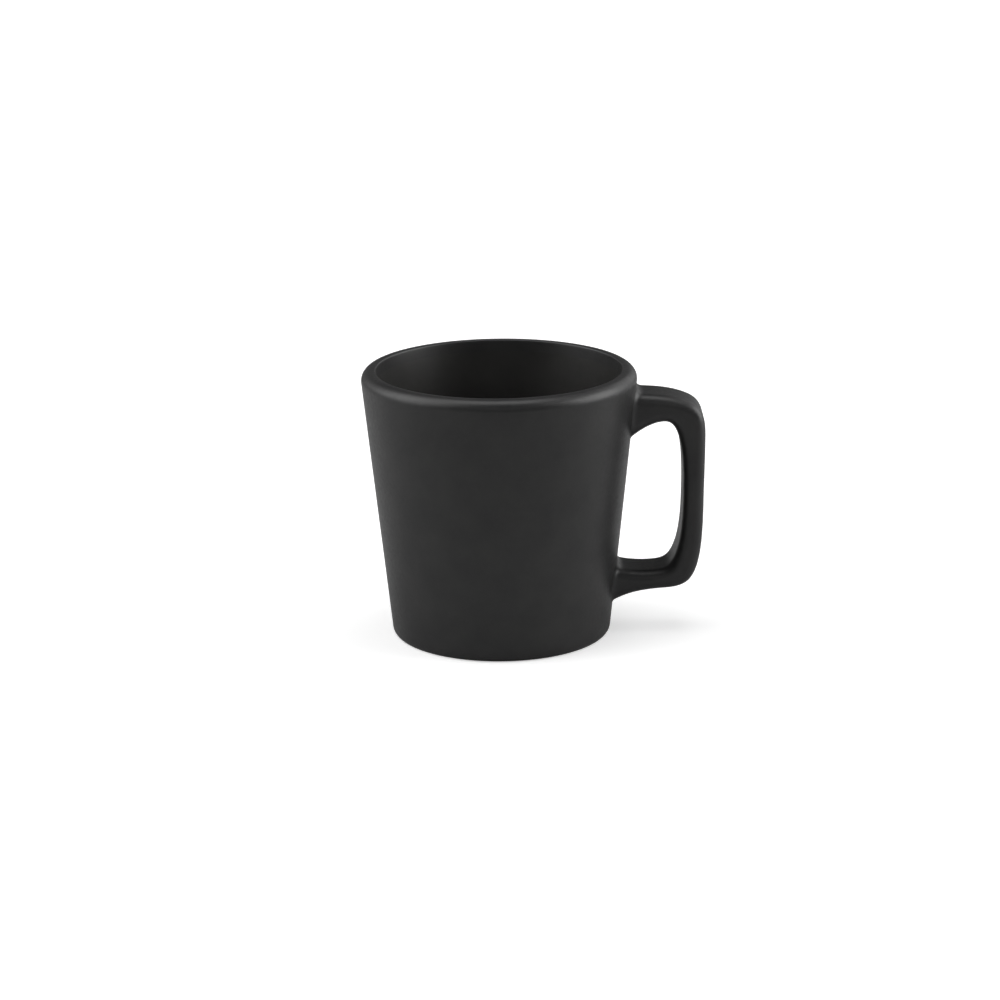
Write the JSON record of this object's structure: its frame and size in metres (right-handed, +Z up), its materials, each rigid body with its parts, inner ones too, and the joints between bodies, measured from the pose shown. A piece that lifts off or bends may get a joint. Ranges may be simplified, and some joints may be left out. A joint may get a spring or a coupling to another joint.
{
  "type": "mug",
  "caption": "Tapered stoneware mug in matte black glaze, with a rounded rim, a squared loop handle and a bare foot ring.",
  "frame": {"origin": "on the surface that the mug stands on, in the middle of the footprint of cup and handle together; the cup's own axis is 10.3 mm from it towards -X", "axes": "+Z up along the axis of the cup, +X from the cup towards its handle, Y across the handle"},
  "size_m": [0.104, 0.0834, 0.0826],
  "materials": {
    "clay": "bare fired stoneware, fine grained and dry, with small dark specks",
    "slip": "fired joining slip, smooth and unglazed",
    "matte_glaze": "satin matte black glaze, even, with a soft broad sheen",
    "liner_glaze": "satin black liner glaze, a little smoother than the outside"
  },
  "bodies": {
    "root": {"cup_body": "clay", "handle": "clay", "upper_slip_joint": "slip", "lower_slip_joint": "slip", "outer_glaze": "matte_glaze", "liner_glaze": "liner_glaze"}
  },
  "joints": []
}
